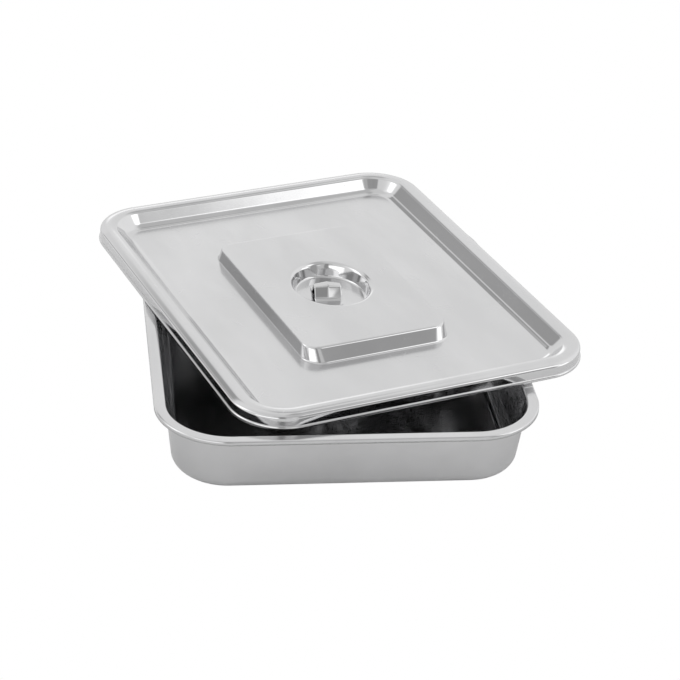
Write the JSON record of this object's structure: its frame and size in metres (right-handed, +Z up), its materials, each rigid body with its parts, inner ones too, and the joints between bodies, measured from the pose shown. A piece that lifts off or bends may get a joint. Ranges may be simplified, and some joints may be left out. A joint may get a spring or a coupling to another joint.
{
  "type": "covered instrument tray",
  "caption": "Rectangular stainless steel instrument tray with a lift-off pressed cover that has a raised field, an oval finger well and a strap grip.",
  "frame": {"origin": "centre of the pan's underside, which stands on the table", "axes": "+Z up, Y along the pan's long side with the pictured short end at -Y, X along its short side"},
  "size_m": [0.3254, 0.3748, 0.057],
  "materials": {
    "pan_steel": "polished",
    "cover_steel": "satin panel, polished rim",
    "grip_steel": "polished"
  },
  "bodies": {
    "pan": {"tray_pan": "pan_steel"},
    "cover": {"lid_cover": "cover_steel", "handle_strap": "grip_steel"}
  },
  "joints": [
    {"name": "cover_lift", "type": "slide", "parent": "pan", "child": "cover", "axis": [0, 0, 1], "range_m": [0, 0.12]}
  ]
}
